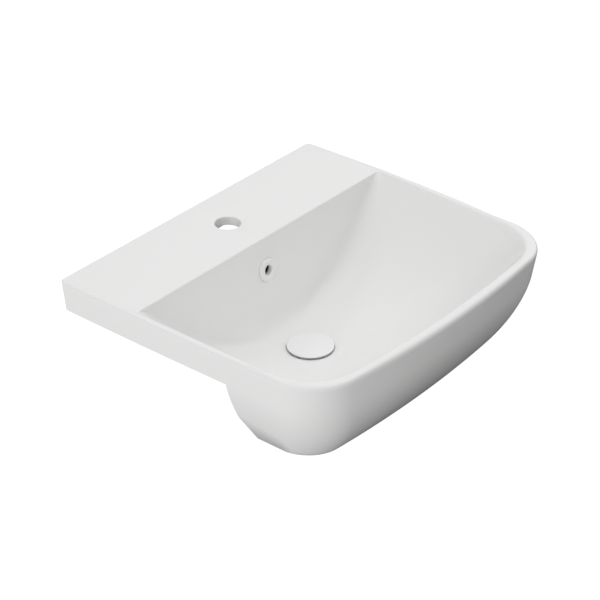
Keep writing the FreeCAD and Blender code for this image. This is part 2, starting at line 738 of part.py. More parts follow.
if __name__ == "__main__":
    os.makedirs("parts", exist_ok=True)
    parts = {
        "basin_body": build_basin_body,
        "overflow_ring": build_overflow_ring,
        "waste_body": build_waste_body,
        "flange_seal": build_flange_seal,
        "cone_seal": build_cone_seal,
        "slip_washer": build_slip_washer,
        "backnut": build_backnut,
        "latch_housing": build_latch_housing,
        "latch_collar": build_latch_collar,
        "latch_rotor": build_latch_rotor,
        "plunger": build_plunger,
        "return_spring": build_return_spring,
        "plug_carrier": build_plug_carrier,
        "plug_seal": build_plug_seal,
        "plug_cap": build_plug_cap,
    }
    for name, build in parts.items():
        build().exportStep(f"parts/{name}.step")
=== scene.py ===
import bisect
import math

import bmesh
import bpy
from mathutils import Matrix, Vector


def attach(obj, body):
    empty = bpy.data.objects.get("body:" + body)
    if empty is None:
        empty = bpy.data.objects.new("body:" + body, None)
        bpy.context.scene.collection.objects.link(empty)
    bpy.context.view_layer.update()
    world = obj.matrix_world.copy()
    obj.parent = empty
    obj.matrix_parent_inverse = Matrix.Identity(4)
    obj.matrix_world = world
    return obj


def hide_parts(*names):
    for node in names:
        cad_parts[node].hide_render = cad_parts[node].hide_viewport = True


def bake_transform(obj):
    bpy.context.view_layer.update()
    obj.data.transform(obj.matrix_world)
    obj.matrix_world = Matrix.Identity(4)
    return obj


# A semi recessed wash basin of glazed ceramic with its overflow ring and push-button waste.
# X runs along the wall, +Y points into the wall and Z points up from the worktop. The shapes
# are worked out in millimetres, with depths measured down from the ledge, and made in metres.
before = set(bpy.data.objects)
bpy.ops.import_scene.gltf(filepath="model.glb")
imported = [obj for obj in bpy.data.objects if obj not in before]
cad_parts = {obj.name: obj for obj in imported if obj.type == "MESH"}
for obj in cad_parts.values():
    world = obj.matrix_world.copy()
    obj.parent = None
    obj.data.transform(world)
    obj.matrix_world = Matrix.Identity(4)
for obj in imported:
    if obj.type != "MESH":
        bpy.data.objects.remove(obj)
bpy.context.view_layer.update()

MM = 0.001

# ---- Rim, apron and ledge ----
BASIN_WIDTH = 500.0
SIDE_BOW = 3.0
BASIN_DEPTH = 435.0
WIDEST_FROM_WALL = 230.0
FRONT_BOW_RADIUS = 1620.0
RIM_CORNER_RADIUS = 71.0
WALL_CORNER_RADIUS = 6.0
APRON_HEIGHT = 45.0
APRON_DRAFT = 5.6
APRON_WALL = 12.0
LEDGE_THICKNESS = 12.6
RIM_DROP = 6.0
WALL_ROLL = 2.5  # how far the outer edge is rounded at the wall, at the sides and in front
SIDE_ROLL = 3.6
FRONT_ROLL = 9.0
LIP_ROLL = 3.4  # the same for the bowl's edge
LEDGE_LIP_ROLL = 1.8  # and where that edge meets the ledge
WALL_ROLL_RUN = 14.0  # how far from the wall the outer roll has grown to the sides' roll
FULL_ROLL_FROM_FRONT = 60.0
LIP_ROLL_CHANGE = (10.0, 40.0)  # from the ledge, where the lip's roll starts and stops growing
LIP_ROLL_SHARE = 0.4  # the most of the rim's width that the lip's roll takes

# ---- Skirt ----
SKIRT_FROM_WALL = 274.0
SKIRT_DEPTH = 115.0
SKIRT_SIDE_UNDERCUT = 40.0
SKIRT_FRONT_UNDERCUT = 49.0
SKIRT_SIDE_CURVE = 1.45
SKIRT_FRONT_CURVE = 1.95
SKIRT_CORNER_RADIUS = 47.0
SKIRT_EDGE = 18.0
SKIRT_EDGE_SIDE = 12.0
SKIRT_EDGE_FRONT = 0.5
SKIRT_EDGE_CURVE = 1.4
SKIRT_EDGE_ROLL = 6.0
SKIRT_BAND = 12.0
SKIRT_RELIEF = 2.0
SKIRT_FOOT = APRON_HEIGHT + SKIRT_DEPTH
FLAT_TOP = (27.6, 56.8)  # the rear corner's flat: in from the side and up from the foot
FLAT_FOOT = (61.7, 8.6)
FLAT_TURN = 1.2

# ---- Bowl ----
LEDGE_DEPTH = 128.5
SIDE_RIM_WIDTH = 7.0
FRONT_RIM_WIDTH = 11.4
BOWL_DEPTH = 136.5
BOWL_POLE = 139.5
BOWL_CURVE = 5.0
SIDE_WALL_LEAN = 0.8
FRONT_WALL_LEAN = 0.6
BACK_WALL_LEAN = 0.12
BACK_HEEL = 40.0
BACK_HEEL_CURVE = 14.0
BOWL_CORNER_RADIUS = 76.0
BOWL_CORNER_FLOOR_RADIUS = 36.0
BACK_CREASE_RADIUS = 3.0
BACK_CREASE_GROWTH = 42.0
BACK_CREASE_TUCK = 0.2
BOWL_BOW_RADIUS = 1900.0
BOWL_WALL = 11.0
FLOOR_THICKNESS = 12.0
SHELL_CORNER_RADIUS = 38.0
SHELL_CREASE_RADIUS = 20.0
SHELL_INTO_LEDGE = 3.0

# ---- Holes ----
TAP_HOLE_RADIUS = 17.5
TAP_FROM_WALL = 66.0
WASTE_FROM_WALL = 207.0
WASTE_HOLE_RADIUS = 23.0
WASTE_RECESS_RADIUS = 32.0
WASTE_RECESS = 3.0
WASTE_RECESS_ROLL = 1.0
BOSS_RADIUS = 37.5
BOSS_DEPTH = 177.5
BOSS_INTO_FLOOR = 2.0
TAP_MOUTH_ROLL = 1.2
OVERFLOW_DEPTH = 46.0
OVERFLOW_HOLE_RADIUS = 13.0
OVERFLOW_SEAT_RADIUS = 16.3
OVERFLOW_SEAT = 0.5
OVERFLOW_HOLE_LENGTH = 12.0
DUCT_WIDTH = 62.0
DUCT_BACK = 101.0
DUCT_IN_FRONT_OF_LEDGE = 30.0
DUCT_FOOT_INSET = 10.0
DUCT_TOP = 35.0
DUCT_ROUND = 8.0
CHANNEL_WIDTH = 40.0
CHANNEL = (113.0, 126.0)  # its back and front, from the wall
CHANNEL_TOP = 15.0
CHANNEL_OUTLET = (152.0, 168.0)

# ---- Waste ----
FLANGE_RADIUS = 30.0
FLANGE_MOUTH_RADIUS = 19.4
FLANGE_TOP = 136.0
FLANGE_FOOT = 138.5
TAIL_RADIUS = 20.95
TAIL_GROOVE = 0.6
TAIL_GROOVE_DEPTHS = (197.0, 200.0)
TAIL_FOOT = 224.0
TAIL_BORE_RADIUS = 17.5
TAIL_BORE_TOP = 139.4
SEAL_BORE_RADIUS = 21.25
SLOT_WIDTH = 10.0
SLOT_HEIGHTS = (-125.0, -105.0)
BRIDGE_WIDTH = 8.0
BRIDGE_HEIGHTS = (-149.0, -145.0)
BRIDGE_HALF_LENGTH = 18.2
HUB_RADIUS = 10.0
STUD_HOLE_RADIUS = 4.05
NUT_ACROSS_FLATS = 52.0
NUT_THICKNESS = 9.0
NUT_DEPTH = 196.0  # the depth of its lower face
NUT_FACE_RADIUS = 26.5
NUT_CORNER_RADIUS = 30.2
NUT_CORNER_DROP = 2.2  # how far its corners are turned down
NUT_BORE_RADIUS = 21.0
NUT_MOUTH_RADIUS = 22.3
SPRING_HEIGHTS = (-141.5, -126.7)
SPRING_TURNS = 4
SPRING_STEPS = 24  # points along each turn
SPRING_RADIUS = 5.2
SPRING_WIRE_RADIUS = 0.5

# ---- Helping sizes ----
FAR = 300.0  # further out than any part of the basin
BEYOND = 20.0  # how far a cutter runs on past the face that it cuts
DRILL_OUT = 5.0  # how far a drill stands out of the face that it enters
NUDGE = 0.01  # keeps two faces from lying in one plane
BLANK_FOOT = -140.0  # where the uncut ceramic ends below
BLANK_CENTRE = -180.0
BLANK_RADIUS = 88.0

side_radius = (WIDEST_FROM_WALL**2 + SIDE_BOW**2) / (2 * SIDE_BOW)
side_centre = Vector((BASIN_WIDTH / 2 - side_radius, -WIDEST_FROM_WALL))

# Points along half of a level curve: back, heel, side, corner and front.
CURVE_STEPS = (14, 10, 30, 22, 26)


def level(depth):
    """The height of a depth below the ledge."""
    return APRON_HEIGHT - depth


def ramp(value, start, end):
    """Runs from 0 at start to 1 at end and stays there."""
    return min(max((value - start) / (end - start), 0.0), 1.0)


def over_waste(z=0.0):
    """A move to the axis of the waste."""
    return Matrix.Translation((0.0, -WASTE_FROM_WALL, z))


# ---- Level curves ----


def arc_points(centre, start, end, steps):
    """Points along the short arc from start up to, but without, end."""
    first, last = start - centre, end - centre
    turn = math.atan2(first.cross(last), first.dot(last))
    return [centre + Matrix.Rotation(turn * i / steps, 2) @ first for i in range(steps)]


def plan_curve(inset, front, back, corner, back_corner, bow):
    """A bowed rectangle seen from above, from the middle of its back and round by +X."""
    side = side_radius - inset
    bow_centre = Vector((0.0, front + bow))
    reach = bow_centre - side_centre
    to_corner, from_bow = side - corner, bow - corner
    along = (to_corner**2 - from_bow**2 + reach.length**2) / (2 * reach.length)
    across = math.sqrt(to_corner**2 - along**2)
    unit = reach.normalized()
    corner_centre = side_centre + unit * along - Vector((-unit.y, unit.x)) * across
    heel_y = back - back_corner
    rise = heel_y - side_centre.y
    heel_x = side_centre.x + math.sqrt((side - back_corner) ** 2 - rise**2)
    heel_centre = Vector((heel_x, heel_y))
    heel_start = Vector((heel_x, back))
    side_start = side_centre + (heel_centre - side_centre).normalized() * side
    side_end = side_centre + (corner_centre - side_centre).normalized() * side
    bow_start = bow_centre + (corner_centre - bow_centre).normalized() * bow
    middle = Vector((0.0, front))
    on_back, on_heel, on_side, on_corner, on_front = CURVE_STEPS
    half = [Vector((heel_x * i / on_back, back)) for i in range(on_back)]
    half += arc_points(heel_centre, heel_start, side_start, on_heel)
    half += arc_points(side_centre, side_start, side_end, on_side)
    half += arc_points(corner_centre, side_end, bow_start, on_corner)
    half += arc_points(bow_centre, bow_start, middle, on_front)
    half.append(middle)
    return half + [Vector((-p.x, p.y)) for p in reversed(half[1:-1])]


def at_height(curve, z):
    """The same curve at another height."""
    return [Vector((p.x, p.y, z)) for p in curve]


def bowl_curve(depth, wall=0.0, floor=0.0):
    """A level curve of the bowl, or of its outside when it is given a wall and a floor."""
    ratio = depth / (BOWL_POLE + floor)
    narrowing = math.sqrt(1 - ratio**BOWL_CURVE)
    rim_half = BASIN_WIDTH / 2 - SIDE_RIM_WIDTH + wall
    half_width = (rim_half - SIDE_WALL_LEAN * depth) * narrowing
    rim_front = BASIN_DEPTH - FRONT_RIM_WIDTH + wall - WASTE_FROM_WALL
    front = (rim_front - FRONT_WALL_LEAN * depth) * narrowing
    heel = BACK_HEEL * ratio**BACK_HEEL_CURVE
    back = -(LEDGE_DEPTH + BACK_WALL_LEAN * depth + heel) + wall
    corner, crease = SHELL_CORNER_RADIUS, SHELL_CREASE_RADIUS
    if wall == 0.0:
        corner = BOWL_CORNER_RADIUS
        corner -= (BOWL_CORNER_RADIUS - BOWL_CORNER_FLOOR_RADIUS) * ratio**2
        growth = math.sqrt(ratio) * (1 - BACK_CREASE_TUCK * ratio**6)
        crease = BACK_CREASE_RADIUS + BACK_CREASE_GROWTH * growth
    curve = plan_curve(
        BASIN_WIDTH / 2 - half_width,
        -WASTE_FROM_WALL - front,
        back,
        corner,
        crease,
        BOWL_BOW_RADIUS,
    )
    return at_height(curve, level(depth))


def outer_curve(depth, wall=0.0, front_extra=0.0):
    """A level curve of the apron and skirt, or of their inside when given a wall."""
    drop = max(depth - APRON_HEIGHT, 0.0) / SKIRT_DEPTH
    draft = APRON_DRAFT * depth / APRON_HEIGHT + wall
    edge = (max(depth + SKIRT_EDGE - SKIRT_FOOT, 0.0) / SKIRT_EDGE) ** SKIRT_EDGE_CURVE
    side = draft + SKIRT_SIDE_UNDERCUT * drop**SKIRT_SIDE_CURVE + SKIRT_EDGE_SIDE * edge
    front = draft + SKIRT_FRONT_UNDERCUT * drop**SKIRT_FRONT_CURVE
    front += SKIRT_EDGE_FRONT * edge + front_extra
    shrink = (RIM_CORNER_RADIUS - SKIRT_CORNER_RADIUS) * drop**3
    curve = plan_curve(
        side,
        front - BASIN_DEPTH,
        -wall,
        RIM_CORNER_RADIUS - shrink - wall,
        WALL_CORNER_RADIUS,
        FRONT_BOW_RADIUS - front,
    )
    return at_height(curve, level(depth))


def round_curve(like, centre_y, radius, z):
    """A circle on the centre line whose points face those of another curve."""
    centre = Vector((0.0, centre_y, 0.0))
    points = []
    for p in like:
        away = Vector((p.x, p.y - centre_y, 0.0)).normalized()
        points.append(centre + away * radius + Vector((0.0, 0.0, z)))
    return points


def between(first, second, share):
    """The curve that lies a share of the way from one curve to another."""
    return [a.lerp(b, share) for a, b in zip(first, second)]


def rolled(before, corner, after, reach, steps):
    """Curves that round an edge: each point swings from one side of the edge to the other.

    reach says for each point how far the roll goes back along both sides.
    """
    curves = [[] for _ in range(steps + 1)]
    for a, edge, b, length in zip(before, corner, after, reach):
        start = edge + (a - edge).normalized() * min(length, (a - edge).length)
        end = edge + (b - edge).normalized() * min(length, (b - edge).length)
        for i, curve in enumerate(curves):
            t = i / steps
            curve.append(start.lerp(edge, t).lerp(edge.lerp(end, t), t))
    return curves


# ---- Mesh helpers ----


def new_object(name, bm):
    """An object at the origin from a mesh worked out in millimetres."""
    bmesh.ops.scale(bm, vec=(MM, MM, MM), verts=bm.verts)
    mesh = bpy.data.meshes.new(name)
    bm.to_mesh(mesh)
    bm.free()
    thing = bpy.data.objects.new(name, mesh)
    bpy.context.scene.collection.objects.link(thing)
    return thing


def ring_edges(ring):
    """The edges that join the neighbours of a closed ring of vertices."""
    pairs = zip(ring, ring[1:] + ring[:1])
    return [next(e for e in a.link_edges if e.other_vert(a) is b) for a, b in pairs]


def grow(bm, ring, curve):
    """Extrudes a ring of vertices to the next curve."""
    made = bmesh.ops.extrude_edge_only(bm, edges=ring_edges(ring))
    new = {g for g in made["geom"] if isinstance(g, bmesh.types.BMVert)}
    grown = []
    for vert, place in zip(ring, curve):
        partner = next(
            e.other_vert(vert) for e in vert.link_edges if e.other_vert(vert) in new
        )
        partner.co = place
        grown.append(partner)
    return grown


def skin(bm, curves):
    """A skin over closed curves. Gives its first and last ring of vertices."""
    made = bmesh.ops.create_circle(bm, segments=len(curves[0]), radius=1.0)
    first = ring = list(made["verts"])
    for vert, place in zip(first, curves[0]):
        vert.co = place
    for curve in curves[1:]:
        ring = grow(bm, ring, curve)
    return first, ring


def closed_skin(name, curves):
    """A solid over closed curves, shut at both ends."""
    bm = bmesh.new()
    for ring in skin(bm, curves):
        bmesh.ops.edgeloop_fill(bm, edges=ring_edges(ring))
    bmesh.ops.recalc_face_normals(bm, faces=bm.faces)
    return new_object(name, bm)


def block(name, x, y, z, round_edges=0.0):
    """A box between pairs of values, with its upright edges rounded when asked."""
    bm = bmesh.new()
    bmesh.ops.create_cube(bm, size=1.0)
    size = Vector((x[1] - x[0], y[1] - y[0], z[1] - z[0]))
    middle = Vector((x[0] + x[1], y[0] + y[1], z[0] + z[1])) / 2
    bmesh.ops.scale(bm, vec=size, verts=bm.verts)
    bmesh.ops.translate(bm, vec=middle, verts=bm.verts)
    if round_edges:
        upright = [e for e in bm.edges if abs(e.verts[0].co.z - e.verts[1].co.z) > 1]
        bmesh.ops.bevel(
            bm,
            geom=upright,
            offset=round_edges,
            segments=6,
            profile=0.5,
            affect="EDGES",
            material=-1,
        )
    return new_object(name, bm)


def spun(bm, outline, steps=96):
    """Turns an outline of radius and height pairs once about Z."""
    verts = [bm.verts.new((r, 0.0, z)) for r, z in outline]
    edges = [bm.edges.new(pair) for pair in zip(verts, verts[1:] + verts[:1])]
    bmesh.ops.spin(
        bm,
        geom=verts + edges,
        cent=(0, 0, 0),
        axis=(0, 0, 1),
        angle=math.tau,
        steps=steps,
        use_merge=True,
    )
    bmesh.ops.remove_doubles(bm, verts=bm.verts, dist=0.0005)
    on_axis = [e for e in bm.edges if all(v.co.xy.length < 0.001 for v in e.verts)]
    if on_axis:
        bmesh.ops.delete(bm, geom=on_axis, context="EDGES")
    bmesh.ops.recalc_face_normals(bm, faces=bm.faces)


def soften(bm, width, segments=3, sharper_than=25.0):
    """Rounds the edges of a piece whose faces meet at more than an angle."""
    sharp = [
        e
        for e in bm.edges
        if len(e.link_faces) == 2 and e.calc_face_angle() > math.radians(sharper_than)
    ]
    bmesh.ops.bevel(
        bm,
        geom=sharp,
        offset=width,
        segments=segments,
        profile=0.5,
        affect="EDGES",
        clamp_overlap=True,
        material=-1,
    )


def combine(base, tool, operation="DIFFERENCE"):
    """Cuts, joins or crosses a mesh with a second one, which is then thrown away."""
    step = base.modifiers.new(operation.lower(), "BOOLEAN")
    step.operation = operation
    step.solver = "EXACT"
    step.object = tool
    graph = bpy.context.evaluated_depsgraph_get()
    mesh = bpy.data.meshes.new_from_object(base.evaluated_get(graph))
    base.modifiers.clear()
    base.data = mesh
    bpy.data.objects.remove(tool)
    return base


def smooth(thing, sharper_than):
    """Shades a piece smooth, except over edges that turn by more than an angle."""
    thing.data.polygons.foreach_set("use_smooth", [True] * len(thing.data.polygons))
    thing.data.set_sharp_from_angle(angle=math.radians(sharper_than))
    return thing


# ---- The ceramic ----


def rim_height(y):
    """The height of the top, which falls away from the ledge to the front."""
    beyond = max(-y - LEDGE_DEPTH, 0.0)
    return APRON_HEIGHT - RIM_DROP * beyond / (BASIN_DEPTH - LEDGE_DEPTH)


def laid_on_rim(curve):
    """The same curve, raised or lowered to the top of the rim."""
    return [Vector((p.x, p.y, rim_height(p.y))) for p in curve]


def sine_depths(bottom, first, steps):
    """Depths down to the bottom that get closer as the wall turns into the floor. The
    first is given as an angle."""
    turn = (math.pi / 2 - first) / steps
    return [bottom * math.sin(first + turn * i) for i in range(steps + 1)]


def bowl_curves():
    """The bowl from the rim down: its edge, then curves that settle level to the floor."""
    # They start close together, because the rear corners widen fast there.
    depths = [0.0, 0.3, 0.7, 1.2, 2.0, 3.0, 4.5, 6.0, 8.0, 10.5, 13.0, 16.0, 20.0]
    depths += sine_depths(BOWL_DEPTH, first=0.15, steps=30)
    table = [bowl_curve(depth) for depth in depths]

    def at(column, depth):
        row = min(max(bisect.bisect_right(depths, depth) - 1, 0), len(depths) - 2)
        share = (depth - depths[row]) / (depths[row + 1] - depths[row])
        return table[row][column].lerp(table[row + 1][column], share)

    columns = range(len(table[0]))
    lip_depth = [APRON_HEIGHT - rim_height(table[0][c].y) for c in columns]
    lip = [at(c, lip_depth[c]) for c in columns]
    curves = []
    settled = 30.0  # the depth at which the curves no longer follow the sloping rim
    for step in (6.0, 9.0, 13.0, 18.0, 24.0):
        share = 1 - step / settled
        curves.append([at(c, step + lip_depth[c] * share) for c in columns])
    below = [row for row, depth in zip(table, depths) if depth > settled - 3]
    return lip, curves + below


def rim_roll(y):
    """How far the outer edge is rounded: least at the wall and most at the front."""
    off_wall = ramp(-y, 0.0, WALL_ROLL_RUN)
    forward = ramp(-y, LEDGE_DEPTH, BASIN_DEPTH - FULL_ROLL_FROM_FRONT)
    forward *= forward * (3 - 2 * forward)
    return WALL_ROLL + (SIDE_ROLL - WALL_ROLL) * off_wall + (FRONT_ROLL - SIDE_ROLL) * forward


def lip_roll(inner, outer):
    """How far the bowl's edge is rounded: least along the ledge."""
    stop, start = LIP_ROLL_CHANGE
    at_ledge = ramp(-inner.y, LEDGE_DEPTH + start, LEDGE_DEPTH + stop)
    roll = LIP_ROLL + (LEDGE_LIP_ROLL - LIP_ROLL) * at_ledge
    return min(roll, LIP_ROLL_SHARE * (inner - outer).length)


def body_curves():
    """Closed curves over the whole ceramic, from the foot of the waste hole up through
    the bowl, over the rim and down the outside to the foot again."""
    lip, bowl = bowl_curves()
    edge = laid_on_rim(outer_curve(0.0, 0.0, APRON_DRAFT * RIM_DROP / APRON_HEIGHT))
    apron = [outer_curve(APRON_HEIGHT * share) for share in (0.33, 0.6, 1.0)]
    steps = 26
    skirt = [outer_curve(APRON_HEIGHT + SKIRT_DEPTH * i / steps) for i in range(1, steps + 1)]
    floor = bowl[-1]
    foot = round_curve(skirt[-1], BLANK_CENTRE, BLANK_RADIUS, level(SKIRT_FOOT))
    pit = round_curve(floor, -WASTE_FROM_WALL, WASTE_RECESS_RADIUS, level(BOWL_DEPTH))
    pit_floor = [p - Vector((0, 0, WASTE_RECESS)) for p in pit]
    hole_top = round_curve(
        floor, -WASTE_FROM_WALL, WASTE_HOLE_RADIUS, level(BOWL_DEPTH + WASTE_RECESS)
    )
    lip_reach = [lip_roll(inner, outer) for inner, outer in zip(lip, edge)]
    rim_reach = [rim_roll(place.y) for place in edge]
    pit_reach = [WASTE_RECESS_ROLL] * len(pit)
    skirt_reach = [SKIRT_EDGE_ROLL] * len(foot)

    curves = [at_height(hole_top, BLANK_FOOT), hole_top, pit_floor]
    curves += rolled(pit_floor, pit, between(pit, floor, 0.3), pit_reach, steps=3)
    curves += [between(pit, floor, share) for share in (0.5, 0.75)]
    curves += reversed(bowl)
    curves += rolled(bowl[0], lip, edge, lip_reach, steps=6)
    curves += rolled(lip, edge, apron[0], rim_reach, steps=6)
    curves += apron + skirt[:-1]
    curves += rolled(skirt[-2], skirt[-1], foot, skirt_reach, steps=5)
    curves += [foot, at_height(foot, BLANK_FOOT)]
    return curves


def build_shell():
    """The bowl's outside with the overflow duct and the boss round the waste."""
    bottom = BOWL_DEPTH + FLOOR_THICKNESS
    first = math.asin((LEDGE_THICKNESS - SHELL_INTO_LEDGE) / bottom)
    depths = sine_depths(bottom, first, steps=18)
    curves = [bowl_curve(depth, BOWL_WALL, FLOOR_THICKNESS) for depth in depths]
    shell = closed_skin("shell", curves)
    foot_height = level(BOSS_DEPTH)
    across = (-DUCT_WIDTH / 2, DUCT_WIDTH / 2)
    along = (-LEDGE_DEPTH - DUCT_IN_FRONT_OF_LEDGE, -DUCT_BACK)
    riser = block("riser", across, along, (foot_height, DUCT_TOP), round_edges=DUCT_ROUND)
    along = (-WASTE_FROM_WALL, -DUCT_BACK - DUCT_FOOT_INSET)
    foot = block("duct_foot", across, along, (foot_height + NUDGE, level(BOWL_DEPTH)))
    top = level(BOWL_DEPTH + BOSS_INTO_FLOOR)
    ring = round_curve(curves[-1], -WASTE_FROM_WALL, BOSS_RADIUS, top)
    boss = closed_skin("boss", [ring, at_height(ring, foot_height - NUDGE)])
    for piece in (riser, foot, boss):
        combine(shell, piece, "UNION")
    return shell


def inner_skin(name, depths, wall):
    """A cutter as wide as the outside less a wall, which runs on below its last curve."""
    curves = [outer_curve(depth, wall) for depth in depths]
    curves.append([p - Vector((0, 0, BEYOND)) for p in curves[-1]])
    return closed_skin(name, curves)


def build_hollow():
    """The hollow under the ledge and beside the bowl, open to below."""
    hollow = inner_skin("hollow", (LEDGE_THICKNESS, APRON_HEIGHT), APRON_WALL)
    behind_skirt = (-2 * FAR, APRON_WALL - SKIRT_FROM_WALL)
    return combine(hollow, block("front", (-FAR, FAR), behind_skirt, (-FAR, FAR)))


def build_relief():
    """What is sunk in the skirt's back inside its ground band, and in the corner above."""
    steps = 8
    depths = [APRON_HEIGHT - SKIRT_RELIEF, APRON_HEIGHT]
    depths += [APRON_HEIGHT + SKIRT_DEPTH * i / steps for i in range(1, steps + 1)]
    relief = inner_skin("relief", depths, SKIRT_BAND)
    sunk = (-SKIRT_FROM_WALL - SKIRT_RELIEF, NUDGE - SKIRT_FROM_WALL)
    return combine(relief, block("slab", (-FAR, FAR), sunk, (-FAR, FAR)), "INTERSECT")


def corner_flat(side):
    """What the flat takes off the skirt's lower rear corner on one side."""
    run = Vector((FLAT_FOOT[0] - FLAT_TOP[0], 0.0, FLAT_TOP[1] - FLAT_FOOT[1]))
    length = 3 * run.length
    thickness = 60.0
    bm = bmesh.new()
    bmesh.ops.create_cube(bm, size=1.0)
    bmesh.ops.scale(bm, vec=(length, 2 * length, thickness), verts=bm.verts)
    bmesh.ops.translate(bm, vec=(0.0, -length, -thickness / 2), verts=bm.verts)
    turn = Matrix.Rotation(math.radians(FLAT_TURN), 4, "X")
    lean = Matrix.Rotation(-math.atan2(run.z, run.x), 4, "Y")
    middle_x = (BASIN_WIDTH - FLAT_TOP[0] - FLAT_FOOT[0]) / 2
    middle_z = (FLAT_TOP[1] + FLAT_FOOT[1]) / 2 - SKIRT_DEPTH
    place = Vector((middle_x, -SKIRT_FROM_WALL, middle_z))
    bmesh.ops.transform(bm, matrix=Matrix.Translation(place) @ lean @ turn, verts=bm.verts)
    if side < 0:
        bmesh.ops.scale(bm, vec=(-1, 1, 1), verts=bm.verts)
        bmesh.ops.recalc_face_normals(bm, faces=bm.faces)
    return new_object("corner_flat", bm)


overflow_from_wall = LEDGE_DEPTH + BACK_WALL_LEAN * OVERFLOW_DEPTH


def wall_place():
    """Where a piece built along +Z at the origin stands on the bowl's back wall."""
    lean = math.atan(BACK_WALL_LEAN)
    turn = Matrix.Rotation(math.pi / 2 - lean, 4, "X")
    return Matrix.Translation((0.0, -overflow_from_wall, level(OVERFLOW_DEPTH))) @ turn


def drill(name, outline, place):
    """A cutter turned from an outline and put in place."""
    bm = bmesh.new()
    spun(bm, outline, steps=72)
    bmesh.ops.transform(bm, matrix=place, verts=bm.verts)
    return new_object(name, bm)


def quarter_round(radius, height, roll, steps=4):
    """Outline points of a hole's mouth that opens towards +Z with a rounded edge."""
    points = []
    for i in range(steps + 1):
        turn = math.pi / 2 * i / steps
        points.append(
            (radius + roll * (1 - math.cos(turn)), height - roll * (1 - math.sin(turn)))
        )
    return points


def build_ceramic():
    """The whole casting: a blank that is cut from behind and below, then drilled."""
    bm = bmesh.new()
    first, last = skin(bm, body_curves())
    bmesh.ops.bridge_loops(bm, edges=ring_edges(first) + ring_edges(last))
    bmesh.ops.recalc_face_normals(bm, faces=bm.faces)
    body = new_object("ceramic_basin", bm)

    behind = block("behind", (-FAR, FAR), (-SKIRT_FROM_WALL, FAR), (-FAR, 0))
    combine(behind, build_hollow(), "UNION")
    combine(behind, build_relief(), "UNION")
    combine(behind, build_shell())
    combine(body, behind)
    for side in (1, -1):
        combine(body, corner_flat(side))

    tap = Matrix.Translation((0.0, -TAP_FROM_WALL, 0.0))
    above = APRON_HEIGHT + DRILL_OUT
    mouth = quarter_round(TAP_HOLE_RADIUS, APRON_HEIGHT, TAP_MOUTH_ROLL)
    mouth += [(TAP_HOLE_RADIUS + TAP_MOUTH_ROLL, above), (0.0, above)]
    combine(body, drill("tap_drill", mouth + [(0.0, 0.0), (TAP_HOLE_RADIUS, 0.0)], tap))

    across = (-CHANNEL_WIDTH / 2, CHANNEL_WIDTH / 2)
    back, front = CHANNEL
    outlet_top, outlet_foot = level(CHANNEL_OUTLET[0]), level(CHANNEL_OUTLET[1])
    combine(body, block("channel", across, (-front, -back), (outlet_foot, CHANNEL_TOP)))
    outlet = (outlet_foot + NUDGE, outlet_top)
    combine(body, block("outlet", across, (-WASTE_FROM_WALL, -back - 1), outlet))
    seat = [
        (0.0, -OVERFLOW_HOLE_LENGTH),
        (OVERFLOW_HOLE_RADIUS, -OVERFLOW_HOLE_LENGTH),
        (OVERFLOW_HOLE_RADIUS, -OVERFLOW_SEAT),
        (OVERFLOW_SEAT_RADIUS, -OVERFLOW_SEAT),
        (OVERFLOW_SEAT_RADIUS, DRILL_OUT),
        (0.0, DRILL_OUT),
    ]
    combine(body, drill("overflow_drill", seat, wall_place()))
    return smooth(body, sharper_than=34.0)


# ---- Turned and small pieces ----


def turned_piece(name, outline, roll, in_wall=False, segments=3, shape=None):
    """A turned piece with softened edges. Its outline pairs a radius with a depth, or with
    a height over the bowl's back wall for a piece that stands there."""
    bm = bmesh.new()
    spun(bm, outline if in_wall else [(r, level(d)) for r, d in outline])
    if roll:
        soften(bm, roll, segments)
    place = wall_place() if in_wall else over_waste()
    bmesh.ops.transform(bm, matrix=place, verts=bm.verts)
    piece = new_object(name, bm)
    if shape:
        shape(piece)
    return smooth(piece, sharper_than=40.0)


def cap_outline():
    """The plug's domed top with a rounded edge."""
    radius, edge, rise, rounding = 31.5, 132.8, 1.8, 0.5
    crown = [(radius * s, edge - rise * (1 - s**2)) for s in (0.0, 0.2, 0.4, 0.6, 0.8, 0.93)]
    roll = [
        (
            radius - rounding * (1 - math.sin(math.radians(turn))),
            edge + rounding * (1 - math.cos(math.radians(turn))),
        )
        for turn in (15, 40, 65, 90)
    ]
    return crown + roll + [(radius, edge + 1.45), (radius - 0.15, edge + 1.6), (0.0, edge + 1.6)]


def cut_waste_slots(piece):
    """The slots that let the overflow water in, and the bar that carries the latch."""
    through = (-WASTE_FROM_WALL - 2 * BEYOND, -WASTE_FROM_WALL + 2 * BEYOND)
    combine(piece, block("slot", (-SLOT_WIDTH / 2, SLOT_WIDTH / 2), through, SLOT_HEIGHTS))
    across = (-BRIDGE_HALF_LENGTH, BRIDGE_HALF_LENGTH)
    along = (-WASTE_FROM_WALL - BRIDGE_WIDTH / 2, -WASTE_FROM_WALL + BRIDGE_WIDTH / 2)
    bar = block("bar", across, along, BRIDGE_HEIGHTS)
    foot, top = BRIDGE_HEIGHTS
    hub = [(0.0, foot), (HUB_RADIUS, foot), (HUB_RADIUS, top), (0.0, top)]
    combine(bar, drill("hub", hub, over_waste()), "UNION")
    foot, top = foot - 2, top + 2
    stud = [(0.0, foot), (STUD_HOLE_RADIUS, foot), (STUD_HOLE_RADIUS, top), (0.0, top)]
    combine(bar, drill("stud", stud, over_waste()))
    combine(piece, bar, "UNION")


